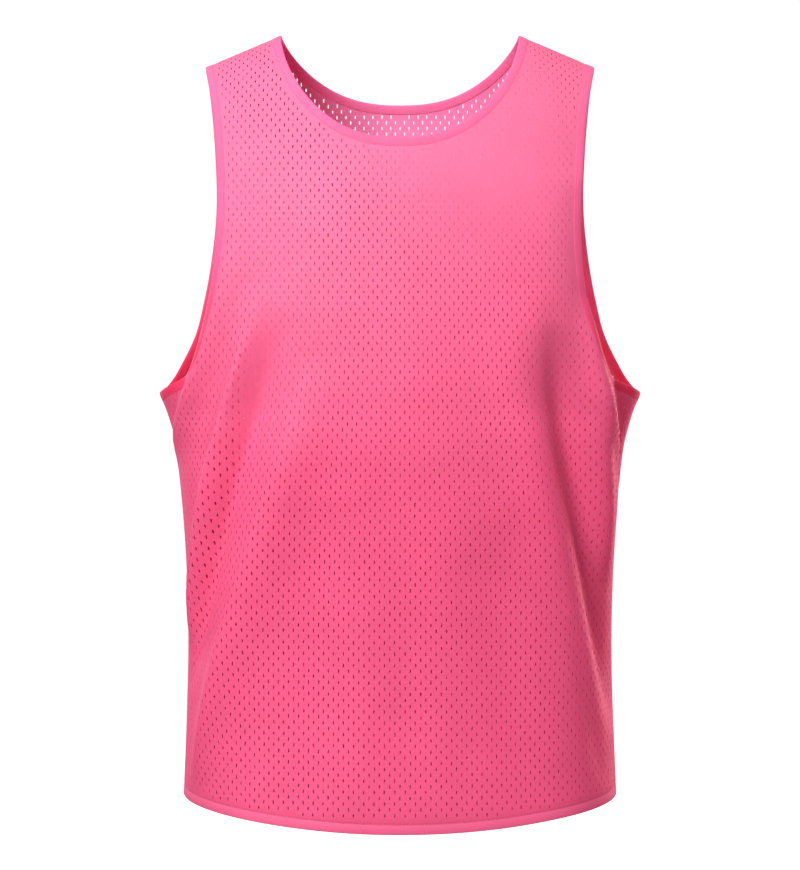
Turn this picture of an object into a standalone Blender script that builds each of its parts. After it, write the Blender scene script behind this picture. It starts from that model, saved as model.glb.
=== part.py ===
"""Running singlet of mesh cloth, in metres, +Z up, filled out as when it is worn.

The front faces -Y. The origin lies at the middle of the shoulders, level with the neck end of
each shoulder seam, where the wearer carries the garment. Each panel is drawn flat, as its
pattern piece is cut, then laid on the form:
    along   is the distance round the cloth from the panel's centre line,
    up      is the height up the cloth; below the shoulder's curve it equals the height Z.
"""

import math
from typing import NamedTuple

import bpy
import numpy as np
from mathutils.geometry import delaunay_2d_cdt

MM = 0.001

# Cloth and sewing
CLOTH = 1.0 * MM
TAPE_THICKNESS = 2.0 * MM
TAPE_WIDTH = 8.0 * MM
SEAM_GAP = 0.3 * MM
# Each panel stops this far short of the ridge, because its wall leans inward there, and a
# row of points lies close to its edge so that it leans less
SHOULDER_GAP = 0.55 * MM
SHOULDER_ROW = 5.0 * MM
HEM_DEPTH = 8.0 * MM
HEM_FOLD = 2 * CLOTH + SEAM_GAP

# Shoulder seam: a straight ridge from the neck end down to the armhole end
NECK_HALF_WIDTH = 104 * MM
SHOULDER_HALF_WIDTH = 170.5 * MM
SHOULDER_FALL = 28 * MM
RIDGE_SLOPE = SHOULDER_FALL / (SHOULDER_HALF_WIDTH - NECK_HALF_WIDTH)
RIDGE_COSINE = math.cos(math.atan(RIDGE_SLOPE))

# The cloth curves over the shoulder as a quarter ellipse, this deep and this high
ARCH_DEPTH = 66 * MM
ARCH_HEIGHT = 110 * MM

# Hem: its height at the side seams, and how much lower it hangs at the centre line. The back
# hangs lower than the front and drops to that depth sooner.
HEM_HEIGHT = -660.5 * MM
HEM_DIP = {"front": 23 * MM, "back": 44 * MM}
HEM_DIP_POWER = {"front": 1.4, "back": 0.85}

# The hem's lines: how far each lies above the fold line on the pattern, and on the form
HEM_ROWS = [
    (HEM_DEPTH, HEM_DEPTH),
    (0.0, 0.0),
    (-HEM_FOLD, 0.0),
    (-HEM_FOLD - HEM_DEPTH, HEM_DEPTH),
]

# Seam fade: folds die away over this much cloth beside a side seam
FOLD_FADE = 30 * MM

# Mesh size. Points of the field keep this share of a step away from the outline.
ACROSS_STEP = 12.5 * MM
UP_STEP = 22 * MM
SQUEEZE = ACROSS_STEP / UP_STEP
EDGE_CLEARANCE = 0.45
WELD = 1e-6
HEM_SEGMENTS = 20
SIDE_SEGMENTS = 15
ARMHOLE_SEGMENTS = 22
NECK_SEGMENTS = 14
SHOULDER_SEGMENTS = 4
SECTION_SAMPLES = 129
EDGE_SAMPLES = 516


class Section(NamedTuple):
    """A level cut of the filled form: half a rounded oval in front and half behind."""

    height: float
    half_width: float
    front_depth: float
    back_depth: float
    roundness: float


class Armhole(NamedTuple):
    """Half the width between the armhole edges of the front and of the back."""

    height: float
    front: float
    back: float


class Neck(NamedTuple):
    """How far a neckline drops at the centre, and the powers of its shape across and down."""

    drop: float
    across: float
    down: float


class Fold(NamedTuple):
    """A ridge or trough through three places (x, z).

    It has a half width toward the centre line and one toward the side, and a rise.
    """

    panel: str
    top: tuple
    bend: tuple
    foot: tuple
    inner: float
    outer: float
    rise: float


SECTIONS = [
    Section(-0.700, 0.1910, 0.121, 0.106, 2.45),
    Section(-0.600, 0.1865, 0.118, 0.100, 2.50),
    Section(-0.515, 0.1850, 0.118, 0.097, 2.50),
    Section(-0.440, 0.1880, 0.120, 0.099, 2.45),
    Section(-0.390, 0.1925, 0.121, 0.101, 2.35),
    Section(-0.355, 0.1970, 0.122, 0.104, 2.20),
    Section(-0.330, 0.2040, 0.122, 0.105, 2.05),
    Section(-0.313, 0.2105, 0.122, 0.106, 2.00),
    Section(-0.280, 0.2120, 0.120, 0.107, 2.10),
    Section(-0.200, 0.2120, 0.110, 0.106, 2.30),
    Section(-0.150, 0.2110, 0.099, 0.102, 2.30),
    Section(-0.100, 0.2080, 0.086, 0.094, 2.30),
    Section(-0.050, 0.2040, 0.074, 0.082, 2.30),
    Section(0.000, 0.2000, 0.066, 0.070, 2.30),
    Section(0.070, 0.1900, 0.060, 0.060, 2.30),
]

ARMHOLES = [
    Armhole(-0.313, 0.2105, 0.2105),
    Armhole(-0.300, 0.1885, 0.2018),
    Armhole(-0.285, 0.1775, 0.1943),
    Armhole(-0.260, 0.1688, 0.1838),
    Armhole(-0.230, 0.1610, 0.1768),
    Armhole(-0.190, 0.1568, 0.1700),
    Armhole(-0.150, 0.1560, 0.1660),
    Armhole(-0.100, 0.1583, 0.1662),
    Armhole(-0.060, 0.1635, 0.1680),
    Armhole(-0.028, 0.1705, 0.1705),
]
UNDERARM_HEIGHT = ARMHOLES[0].height

NECKS = {"front": Neck(0.098, 2.3, 1.6), "back": Neck(0.051, 2.45, 1.2)}

FOLDS = [
    Fold("front", (-0.118, -0.220), (-0.148, -0.355), (-0.180, -0.540), 0.013, 0.013, 0.0075),
    Fold("front", (-0.094, -0.250), (-0.135, -0.380), (-0.171, -0.540), 0.013, 0.013, -0.0075),
    Fold("front", (-0.062, -0.280), (-0.110, -0.430), (-0.166, -0.640), 0.030, 0.014, 0.0090),
    Fold("front", (0.110, -0.220), (0.138, -0.430), (0.178, -0.610), 0.034, 0.013, 0.0075),
    Fold("front", (0.125, -0.230), (0.154, -0.420), (0.182, -0.610), 0.014, 0.026, -0.0125),
    Fold("front", (0.158, -0.250), (0.174, -0.370), (0.180, -0.480), 0.014, 0.013, 0.0055),
    Fold("front", (0.147, -0.160), (0.171, -0.290), (0.193, -0.380), 0.020, 0.016, 0.0040),
    Fold("front", (0.177, -0.220), (0.192, -0.312), (0.198, -0.360), 0.018, 0.016, -0.0070),
    Fold("front", (-0.147, -0.160), (-0.171, -0.290), (-0.193, -0.380), 0.020, 0.016, 0.0040),
    Fold("front", (-0.177, -0.220), (-0.192, -0.312), (-0.198, -0.360), 0.018, 0.016, -0.0065),
    Fold("front", (-0.060, -0.400), (-0.075, -0.540), (-0.085, -0.690), 0.030, 0.030, -0.0035),
    Fold("front", (0.075, -0.420), (0.092, -0.560), (0.120, -0.690), 0.028, 0.028, -0.0040),
    Fold("back", (-0.130, -0.230), (-0.148, -0.380), (-0.180, -0.570), 0.030, 0.013, 0.0080),
    Fold("back", (-0.070, -0.260), (-0.082, -0.450), (-0.105, -0.680), 0.028, 0.028, -0.0060),
    Fold("back", (0.125, -0.240), (0.140, -0.400), (0.178, -0.620), 0.032, 0.013, 0.0080),
    Fold("back", (0.060, -0.250), (0.074, -0.430), (0.090, -0.660), 0.026, 0.026, -0.0055),
    Fold("back", (0.010, -0.330), (-0.004, -0.480), (0.006, -0.690), 0.024, 0.024, 0.0050),
]

OUTWARD = {"front": -1.0, "back": 1.0}

MESH_PINK = (1.0, 0.145, 0.300, 1.0)
TAPE_PINK = (1.0, 0.170, 0.340, 1.0)


def column(rows, name, at):
    """A table's column at the heights given, on a smooth curve through its rows."""
    heights = np.array([row.height for row in rows])
    values = np.array([getattr(row, name) for row in rows])
    slopes = np.gradient(values, heights)
    at = np.clip(at, heights[0], heights[-1])
    low = np.clip(np.searchsorted(heights, at) - 1, 0, len(rows) - 2)
    step = heights[low + 1] - heights[low]
    t = (at - heights[low]) / step
    from_low = (1 + 2 * t) * (1 - t) ** 2 * values[low] + t * (1 - t) ** 2 * step * slopes[low]
    from_high = t * t * (3 - 2 * t) * values[low + 1] - t * t * (1 - t) * step * slopes[low + 1]
    return from_low + from_high


def arch_table():
    """Angles round the shoulder's quarter ellipse, and the cloth's length down to each."""
    angles = np.linspace(0, math.pi / 2, SECTION_SAMPLES)
    speed = np.hypot(ARCH_DEPTH * np.cos(angles), ARCH_HEIGHT * np.sin(angles))
    steps = (speed[1:] + speed[:-1]) / 2 * np.diff(angles)
    return angles, np.concatenate([[0], np.cumsum(steps)])


ARCH_ANGLES, ARCH_LENGTHS = arch_table()
ARCH_SLACK = ARCH_LENGTHS[-1] - ARCH_HEIGHT


def ridge_height(x):
    """Height of the shoulder ridge, which goes on in line past both ends of the seam."""
    return (NECK_HALF_WIDTH - np.abs(x)) * RIDGE_SLOPE


def over_shoulder(below):
    """Drop and share of the depth reached, for cloth lengths below the shoulder ridge."""
    length = np.abs(below)
    angle = np.interp(length, ARCH_LENGTHS, ARCH_ANGLES)
    past = np.maximum(length - ARCH_LENGTHS[-1], 0)
    return ARCH_HEIGHT * (1 - np.cos(angle)) + past, np.sin(angle) * np.sign(below)


def half_sections(panel, up):
    """Half the level cut at each height: x, depth and length along it, as rows of samples."""
    up = np.asarray(up, dtype=float)
    turn = np.linspace(0, math.pi / 2, SECTION_SAMPLES)
    power = column(SECTIONS, "roundness", up)[:, None]
    size = (np.sin(turn) ** power + np.cos(turn) ** power) ** (1 / power)
    x = column(SECTIONS, "half_width", up)[:, None] * np.sin(turn) / size
    depth = column(SECTIONS, panel + "_depth", up)[:, None] * np.cos(turn) / size
    steps = np.hypot(np.diff(x, axis=1), np.diff(depth, axis=1))
    along = np.concatenate([np.zeros((len(up), 1)), np.cumsum(steps, axis=1)], axis=1)
    return x, depth, along


def rowwise(at, rows_from, rows_to):
    """Linear interpolation of each value in its own row."""
    return np.array([np.interp(a, f, t) for a, f, t in zip(at, rows_from, rows_to)])


def side_length(panel, up):
    """Cloth from the centre line to the side seam at each height."""
    return half_sections(panel, up)[2][:, -1]


def along_at(panel, x, up):
    """Cloth from the centre line out to x at each height."""
    across, _, along = half_sections(panel, up)
    return np.sign(x) * rowwise(np.abs(x), across, along)


def plain_form(panel, along, up):
    """Points of the form without folds. It runs on smoothly past side seam and ridge."""
    across, depth, lengths = half_sections(panel, up)
    end = lengths[:, -1]
    out = np.abs(along)
    inside = np.minimum(out, 2 * end - out)
    x = rowwise(inside, lengths, across)
    y = rowwise(inside, lengths, depth) * np.where(out > end, -1.0, 1.0)
    ridge = ridge_height(x)
    drop, reached = over_shoulder(ARCH_SLACK + ridge - up)
    return np.stack([np.sign(along) * x, OUTWARD[panel] * y * reached, ridge - drop], axis=1)


def outward_normals(panel, along, up, reach=1.0 * MM):
    """Unit normals of the form without folds, pointing out of the garment."""
    across = plain_form(panel, along + reach, up) - plain_form(panel, along - reach, up)
    upward = plain_form(panel, along, up + reach) - plain_form(panel, along, up - reach)
    normals = -OUTWARD[panel] * np.cross(across, upward)
    return normals / np.linalg.norm(normals, axis=1, keepdims=True)


def fold_rise(panel, along, up):
    """How far the folds lift the cloth off the plain form."""
    room = np.clip((side_length(panel, up) - np.abs(along)) / FOLD_FADE, 0, 1)
    rise = np.zeros(len(along))
    for fold in FOLDS:
        if fold.panel != panel:
            continue
        places = np.array([fold.top, fold.bend, fold.foot])
        path = np.polyfit(places[:, 1], along_at(panel, places[:, 0], places[:, 1]), 2)
        run = np.clip((up - fold.foot[1]) / (fold.top[1] - fold.foot[1]), 0, 1)
        aside = (along - np.polyval(path, up)) * np.sign(fold.bend[0])
        width = np.where(aside < 0, fold.inner, fold.outer)
        strength = (1 - (2 * run - 1) ** 4) ** 1.5
        rise += fold.rise * strength * np.exp(-((aside / width) ** 2))
    return rise * room * room * (3 - 2 * room)


def hem_line(panel, along):
    """Height of the hem's fold: lowest at the centre line, rising to the side seams."""
    along = np.asarray(along, dtype=float)
    side = side_length(panel, np.full(len(along), HEM_HEIGHT))
    turn = np.clip(np.abs(along) / side, 0, 1) * math.pi / 2
    return HEM_HEIGHT - HEM_DIP[panel] * np.cos(turn) ** HEM_DIP_POWER[panel]


def on_form(panel, along, up, lift=0.0):
    """Points of the cloth's outer face. Cloth below the hem line is turned up inside."""
    along = np.asarray(along, dtype=float)
    up = np.asarray(up, dtype=float)
    turned = np.maximum(hem_line(panel, along) - up, 0)
    inward = np.minimum(turned, HEM_FOLD)
    level = up + turned + (turned - inward)
    normals = outward_normals(panel, along, level)
    rise = fold_rise(panel, along, level) - inward + lift
    return plain_form(panel, along, level) + normals * rise[:, None]


def on_ridge(panel, x):
    """The pattern's place (along, up) for places x on the shoulder seam."""
    up = ARCH_SLACK + ridge_height(x)
    return np.stack([along_at(panel, x, up), up], axis=1)


def on_pattern(panel, x, z):
    """The pattern's place (along, up) for points seen from the front at x and z."""
    ridge = ridge_height(x)
    fall = np.clip(ridge - z, 0, None)
    angle = np.arccos(1 - np.minimum(fall / ARCH_HEIGHT, 1))
    below = np.interp(angle, ARCH_ANGLES, ARCH_LENGTHS) + np.maximum(fall - ARCH_HEIGHT, 0)
    up = ARCH_SLACK + ridge - below
    return np.stack([along_at(panel, x, up), up], axis=1)


def evenly(panel, places, segments):
    """The same line on the pattern, in equal steps along the cloth."""
    points = plain_form(panel, places[:, 0], places[:, 1])
    lengths = np.linalg.norm(np.diff(points, axis=0), axis=1)
    run = np.concatenate([[0], np.cumsum(lengths)])
    stops = np.linspace(0, run[-1], segments + 1)
    return np.stack([np.interp(stops, run, places[:, i]) for i in (0, 1)], axis=1)


def beside(edge, shift, start_x, panel):
    """A line beside an edge, shifted to its left if shift is positive, from the ridge down."""
    tangent = np.gradient(edge, axis=0)
    tangent /= np.linalg.norm(tangent, axis=1, keepdims=True)
    line = edge + shift * np.stack([-tangent[:, 1], tangent[:, 0]], axis=1)
    line[0] = on_ridge(panel, np.array([start_x]))[0]
    line[-1, 1] = edge[-1, 1] - abs(shift)
    return line


def armhole_lines(panel, insets):
    """The armhole edge from shoulder to underarm, and lines inset from it, at +X."""
    z = np.linspace(-SHOULDER_FALL, UNDERARM_HEIGHT, EDGE_SAMPLES)
    x = column(ARMHOLES, panel, z)
    edge = evenly(panel, on_pattern(panel, x, z), ARMHOLE_SEGMENTS)
    edge[0] = on_ridge(panel, np.array([SHOULDER_HALF_WIDTH]))[0]
    edge[-1] = side_length(panel, [UNDERARM_HEIGHT])[0], UNDERARM_HEIGHT
    lines = [edge]
    for inset in insets:
        line = beside(edge, -inset, SHOULDER_HALF_WIDTH - inset * RIDGE_COSINE, panel)
        line[-1, 0] = side_length(panel, line[-1:, 1])[0]
        lines.append(line)
    return lines


def neck_lines(panel, insets):
    """The neck edge from the shoulder to the centre line, and lines inset from it, at +X."""
    neck = NECKS[panel]
    turn = np.linspace(0, math.pi / 2, EDGE_SAMPLES)
    x = NECK_HALF_WIDTH * np.cos(turn) ** (2 / neck.across)
    z = -neck.drop * np.sin(turn) ** (2 / neck.down)
    edge = evenly(panel, on_pattern(panel, x, z), NECK_SEGMENTS)
    edge[0] = on_ridge(panel, np.array([NECK_HALF_WIDTH]))[0]
    edge[-1] = 0.0, -neck.drop
    lines = [edge]
    for inset in insets:
        line = beside(edge, inset, NECK_HALF_WIDTH + inset * RIDGE_COSINE, panel)
        line[-1, 0] = 0.0
        lines.append(line)
    return lines


def hem_rows(panel):
    """Lines along the hem, at +X: where it is stitched, its two fold lines and its edge."""
    share = np.linspace(0, 1, HEM_SEGMENTS + 1)
    rows = []
    for offset, level in HEM_ROWS:
        side = side_length(panel, [HEM_HEIGHT + level])[0] - SEAM_GAP / 2
        along = share * side
        rows.append(np.stack([along, hem_line(panel, along) + offset], axis=1))
    return rows


def pattern_half(panel):
    """The pattern's outline at +X from hem to neck, and the lines that its triangles keep."""
    inset = TAPE_WIDTH + SEAM_GAP
    rows = hem_rows(panel)
    armhole = armhole_lines(panel, [inset])[1][::-1]
    neck = neck_lines(panel, [inset])[1]
    levels = np.linspace(rows[0][-1, 1], armhole[0, 1], SIDE_SEGMENTS + 1)[1:]
    side = np.stack([side_length(panel, levels) - SEAM_GAP / 2, levels], axis=1)
    armhole[0] = side[-1]
    ends_x = plain_form(panel, *np.stack([armhole[-1], neck[0]]).T)[:, 0]
    seam = on_ridge(panel, np.linspace(ends_x[0], ends_x[1], SHOULDER_SEGMENTS + 1))
    seam[:, 1] -= SHOULDER_GAP
    hem_side = np.array([row[-1] for row in rows[::-1]])
    outline = np.concatenate([rows[3][:-1], hem_side, side, armhole[1:-1], seam, neck[1:]])
    beside_seam = seam[1:-1] - (0.0, SHOULDER_ROW)
    return outline, rows[:3] + [beside_seam]


def mirrored(line):
    return line * (-1.0, 1.0)


def inside(places, outline):
    """True for each place within the outline."""
    start, end = outline, np.roll(outline, -1, axis=0)
    x, y = places[:, None, 0], places[:, None, 1]
    spans = (start[:, 1] > y) != (end[:, 1] > y)
    rise = np.where(end[:, 1] == start[:, 1], 1.0, end[:, 1] - start[:, 1])
    crossing = start[:, 0] + (y - start[:, 1]) / rise * (end[:, 0] - start[:, 0])
    return (spans & (x < crossing)).sum(axis=1) % 2 == 1


def clearance(places, outline):
    """Distance of each place from the outline."""
    start, end = outline, np.roll(outline, -1, axis=0)
    step = end - start
    t = ((places[:, None] - start) * step).sum(axis=2) / (step**2).sum(axis=1)
    nearest = start + np.clip(t, 0, 1)[..., None] * step
    return np.linalg.norm(places[:, None] - nearest, axis=2).min(axis=1)


def lattice(outline, floor):
    """Places in staggered rows within the outline and above the floor line, mirrored about 0."""
    rows = []
    step = UP_STEP * SQUEEZE
    for i, up in enumerate(np.arange(floor[:, 1].max() + step, floor[:, 1].min(), -step)):
        rows.append((i, up))
    for i, up in enumerate(np.arange(floor[:, 1].max() + 2 * step, outline[:, 1].max(), step)):
        rows.append((i + 1, up))
    lines = []
    for i, up in rows:
        half = np.arange(0.5 * (i % 2), outline[:, 0].max() / ACROSS_STEP) * ACROSS_STEP
        line = np.concatenate([-half[half > 0][::-1], half])
        lines.append(np.stack([line, np.full(len(line), up)], axis=1))
    places = np.concatenate(lines)
    places = places[inside(places, outline)]
    places = places[clearance(places, outline) > EDGE_CLEARANCE * ACROSS_STEP]
    above = places[:, 1] - np.interp(np.abs(places[:, 0]), floor[:, 0], floor[:, 1])
    return places[above > EDGE_CLEARANCE * ACROSS_STEP]


def cut_pattern(panel):
    """The flat pattern as triangles. Heights are squeezed while the triangles are chosen."""
    half, rows = pattern_half(panel)
    outline = np.concatenate([half, mirrored(half[1:-1])[::-1]]) * (1, SQUEEZE)
    lines = [side * (1, SQUEEZE) for row in rows for side in (row, mirrored(row))]
    field = lattice(outline, lines[0])
    places = [outline]
    edges = [(i, (i + 1) % len(outline)) for i in range(len(outline))]
    for line in lines:
        first = sum(map(len, places))
        places.append(line)
        edges += [(first + i, first + i + 1) for i in range(len(line) - 1)]
    places.append(field)
    flat = [tuple(place) for place in np.concatenate(places)]
    found = delaunay_2d_cdt(flat, edges, [list(range(len(outline)))], 1, WELD)
    return np.array([tuple(place) for place in found[0]]) / (1, SQUEEZE), found[2]


def cloth_material(name, colour):
    material = bpy.data.materials.new(name)
    material.use_nodes = True
    shader = material.node_tree.nodes["Principled BSDF"]
    shader.inputs["Base Color"].default_value = colour
    shader.inputs["Roughness"].default_value = 0.85
    shader.inputs["Metallic"].default_value = 0.0
    material.diffuse_color = colour
    return material


def cloth_object(name, points, faces, material, thickness, offset):
    """An open sheet of cloth, thickened to a closed wall."""
    mesh = bpy.data.meshes.new(name)
    mesh.from_pydata([tuple(point) for point in points], [], faces)
    mesh.materials.append(material)
    mesh.shade_smooth()
    item = bpy.data.objects.new(name, mesh)
    wall = item.modifiers.new("Wall", "SOLIDIFY")
    wall.thickness = thickness
    wall.offset = offset
    wall.use_even_offset = True
    return item


def make_panel(panel, material):
    places, faces = cut_pattern(panel)
    points = on_form(panel, places[:, 0], places[:, 1])
    if panel == "back":
        faces = [face[::-1] for face in faces]
    return cloth_object(panel + "_panel", points, faces, material, CLOTH, -1.0)


def make_binding(name, loops, material):
    """A tape round an opening: lines from its edge inward, each one a closed loop."""
    count = len(loops[0])
    faces = []
    for row in range(len(loops) - 1):
        for i in range(count):
            near, far = row * count, (row + 1) * count
            j = (i + 1) % count
            faces.append((near + i, near + j, far + j, far + i))
    return cloth_object(name, np.concatenate(loops), faces, material, TAPE_THICKNESS, 0.0)


def tape_points(panel, line, side):
    """A line of the tape's middle layer, at +X for side 1 or -X for side -1."""
    return on_form(panel, side * line[:, 0], line[:, 1], lift=-CLOTH / 2)


TAPE_INSETS = (TAPE_WIDTH / 2, TAPE_WIDTH)


def make_armhole_binding(name, side, material):
    fronts = armhole_lines("front", TAPE_INSETS)
    backs = armhole_lines("back", TAPE_INSETS)
    loops = []
    for front, back in zip(fronts, backs):
        down = tape_points("front", front, side)
        rise = tape_points("back", back, side)[::-1]
        loops.append(np.concatenate([down, rise[1:-1]]))
    return make_binding(name, loops, material)


def make_neck_binding(name, material):
    fronts = neck_lines("front", TAPE_INSETS)
    backs = neck_lines("back", TAPE_INSETS)
    loops = []
    for front, back in zip(fronts, backs):
        left_down = tape_points("front", front, 1)
        right_up = tape_points("front", front, -1)[::-1]
        right_down = tape_points("back", back, -1)
        left_up = tape_points("back", back, 1)[::-1]
        quarters = (left_down, right_up, right_down, left_up)
        loops.append(np.concatenate([quarter[:-1] for quarter in quarters]))
    return make_binding(name, loops, material)


def main():
    for old in list(bpy.data.objects):
        bpy.data.objects.remove(old, do_unlink=True)
    garment = bpy.data.collections.new("running_singlet")
    bpy.context.scene.collection.children.link(garment)
    mesh_cloth = cloth_material("mesh_cloth", MESH_PINK)
    tape = cloth_material("binding_tape", TAPE_PINK)
    pieces = [
        make_panel("front", mesh_cloth),
        make_panel("back", mesh_cloth),
        make_neck_binding("neck_binding", tape),
        make_armhole_binding("armhole_binding_left", 1, tape),
        make_armhole_binding("armhole_binding_right", -1, tape),
    ]
    for piece in pieces:
        garment.objects.link(piece)


main()
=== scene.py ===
# %% [markdown]
# # A running singlet of mesh cloth
#
# A running singlet is two cut panels of knitted mesh, front and back. They are joined over the
# shoulders and down the sides, bound with a folded tape round the neck and both armholes, and
# turned up at the hem. Here each panel is drawn flat, as a cutter would draw it, and then laid
# on a filled-out form, so that the small holes of the mesh follow the cloth.

import math

import bpy
import numpy as np
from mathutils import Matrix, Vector
from mathutils.geometry import delaunay_2d_cdt
from mathutils.kdtree import KDTree


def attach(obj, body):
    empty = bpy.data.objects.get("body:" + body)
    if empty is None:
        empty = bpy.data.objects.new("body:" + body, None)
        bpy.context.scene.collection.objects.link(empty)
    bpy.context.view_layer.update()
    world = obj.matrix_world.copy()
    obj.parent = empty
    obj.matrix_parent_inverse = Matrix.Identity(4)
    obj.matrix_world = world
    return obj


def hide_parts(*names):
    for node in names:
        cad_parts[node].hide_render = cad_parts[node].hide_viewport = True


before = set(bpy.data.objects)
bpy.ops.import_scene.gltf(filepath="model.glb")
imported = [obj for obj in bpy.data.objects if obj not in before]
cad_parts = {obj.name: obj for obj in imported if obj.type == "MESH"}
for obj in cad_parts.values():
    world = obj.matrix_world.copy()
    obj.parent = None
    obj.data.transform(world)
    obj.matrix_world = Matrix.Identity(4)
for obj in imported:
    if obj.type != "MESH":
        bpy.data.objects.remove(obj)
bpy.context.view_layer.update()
print("solids:", ", ".join(sorted(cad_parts)))

# %% [markdown]
# ## Camera
#
# The garment is looked at from straight in front, at the height of its middle, with a long
# lens so that its sides stay nearly parallel. The camera stands 2.4 m off. The lens is worked
# out from how much height has to fit on the sensor at that distance, which is easier to get
# right than a guess at the focal length.

# %% Place the camera
MM = 0.001
QUARTER_TURN = math.pi / 2
CAMERA_DISTANCE = 2.4
CAMERA_HEIGHT = -0.35
VIEW_HEIGHT = 0.763
SENSOR = 36.0


def show(thing):
    bpy.context.scene.collection.objects.link(thing)


camera_data = bpy.data.cameras.new("camera")
camera_data.sensor_width = SENSOR
camera_data.lens = SENSOR * CAMERA_DISTANCE / VIEW_HEIGHT
camera = bpy.data.objects.new("camera", camera_data)
camera.location = (0.0, -CAMERA_DISTANCE, CAMERA_HEIGHT)
camera.rotation_euler = (QUARTER_TURN, 0.0, 0.0)
show(camera)
bpy.context.scene.camera = camera
print(f"lens {camera_data.lens:.1f} mm for {VIEW_HEIGHT} m of height")

# %% [markdown]
# ## Studio
#
# The garment hangs in a white studio. A wide shell, flat below and domed above, gives the pale
# floor and background. It is kept out of the light that reaches the cloth, because a bright
# shell on all sides would wash out the folds. The light comes from soft round lamps instead: a
# key lamp at the upper left, a weak one at the left, a faint fill low at the right, a pink one
# behind the right edge, one above and two behind. Light that has passed through dyed cloth or
# bounced in its folds is pink, so the weakest light, from all round, is pink too. That keeps
# the shaded side of each fold a full colour and not a grey one.

# %% Build the white shell
FLOOR_HEIGHT = -0.95
SHELL_RADIUS = 6.0
SHELL_COVE = 0.5
SHELL_SIDES, COVE_STEPS, DOME_STEPS = 48, 9, 17


def make_piece(name, points, faces, sharp_above=None):
    mesh = bpy.data.meshes.new(name)
    mesh.from_pydata(np.asarray(points).tolist(), [], [list(map(int, face)) for face in faces])
    mesh.shade_smooth()
    if sharp_above is not None:
        mesh.set_sharp_from_angle(angle=math.radians(sharp_above))
    piece = bpy.data.objects.new(name, mesh)
    show(piece)
    return piece


def studio_shell():
    """A floor that curves up into a dome, as one turned surface seen from inside."""
    cove = np.linspace(0, QUARTER_TURN, COVE_STEPS)
    dome = np.linspace(0, QUARTER_TURN, DOME_STEPS)[1:-1]
    radii = [0.5 * SHELL_RADIUS, *(SHELL_RADIUS - SHELL_COVE * (1 - np.sin(cove))),
             *(SHELL_RADIUS * np.cos(dome))]
    heights = [0.0, *(SHELL_COVE * (1 - np.cos(cove))), *(SHELL_COVE + SHELL_RADIUS * np.sin(dome))]
    turns = np.arange(SHELL_SIDES) * 2 * math.pi / SHELL_SIDES
    points = [(0.0, 0.0, 0.0)]
    for radius, height in zip(radii, heights):
        points += [(radius * math.cos(turn), radius * math.sin(turn), height) for turn in turns]
    points.append((0.0, 0.0, SHELL_COVE + SHELL_RADIUS))
    top = len(points) - 1
    last = top - SHELL_SIDES
    faces = []
    for k in range(SHELL_SIDES):
        j = (k + 1) % SHELL_SIDES
        faces += [(0, 1 + k, 1 + j), (last + k, top, last + j)]
        for low in range(1, last, SHELL_SIDES):
            high = low + SHELL_SIDES
            faces.append((low + k, high + k, high + j, low + j))
    return make_piece("studio_floor", np.array(points) + (0.0, 0.0, FLOOR_HEIGHT), faces)


shell = studio_shell()
print("shell:", len(shell.data.polygons), "faces")

# %% Paint the shell and hang the lamps
SHELL_GLOW = 0.98
AIR_GLOW = 0.155
CLOTH_GLOW = (1.0, 0.50, 0.60)
WHITE = (1.0, 1.0, 1.0)
CHEST = Vector((0.0, 0.0, -0.30))
# Name, place, width, power and colour. All lamps point at the chest.
LAMPS = (
    ("key", (-1.15, -2.5, 0.9), 1.2, 75.0, WHITE),
    ("side", (-2.7, -0.7, 0.2), 1.2, 14.0, WHITE),
    ("fill", (1.1, -1.3, -1.5), 1.0, 5.5, (1.0, 0.72, 0.80)),
    ("rim", (2.3, 1.9, -0.5), 1.2, 44.0, (1.0, 0.34, 0.44)),
    ("top", (0.2, -0.6, 1.9), 1.2, 22.0, WHITE),
    ("rear_left", (-1.5, 2.4, 0.6), 1.5, 40.0, WHITE),
    ("rear_right", (1.8, 2.2, 0.5), 1.5, 22.0, WHITE),
)

white = bpy.data.materials.new("studio_white")
white.use_nodes = True
paint = white.node_tree.nodes["Principled BSDF"].inputs
paint["Base Color"].default_value = (0.40, 0.40, 0.40, 1.0)
paint["Roughness"].default_value = 0.9
paint["Emission Color"].default_value = (*WHITE, 1.0)
paint["Emission Strength"].default_value = SHELL_GLOW
shell.data.materials.append(white)
shell.visible_diffuse = shell.visible_glossy = False
shell.visible_transmission = shell.visible_shadow = False

for name, place, width, power, colour in LAMPS:
    data = bpy.data.lights.new(name, "AREA")
    data.shape = "DISK"
    data.size, data.energy, data.color = width, power, colour
    lamp = bpy.data.objects.new(name, data)
    lamp.location = place
    lamp.rotation_euler = (CHEST - Vector(place)).to_track_quat("-Z", "Y").to_euler()
    lamp.visible_camera = False
    show(lamp)

world = bpy.data.worlds.new("studio_air")
world.use_nodes = True
air = world.node_tree.nodes["Background"].inputs
air["Color"].default_value = (*CLOTH_GLOW, 1.0)
air["Strength"].default_value = AIR_GLOW
bpy.context.scene.world = world
bpy.context.scene.view_settings.view_transform = "Standard"
print("studio: one shell and", len(LAMPS), "lamps")

# %% [markdown]
# ## The filled-out form
#
# Worn cloth follows the body loosely, so a level cut through it is a rounded oval. The table
# gives some of these cuts from hem to shoulder. A superellipse does the oval, because one
# number sets how square its corners are. Its front and back halves have depths of their own.

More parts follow.
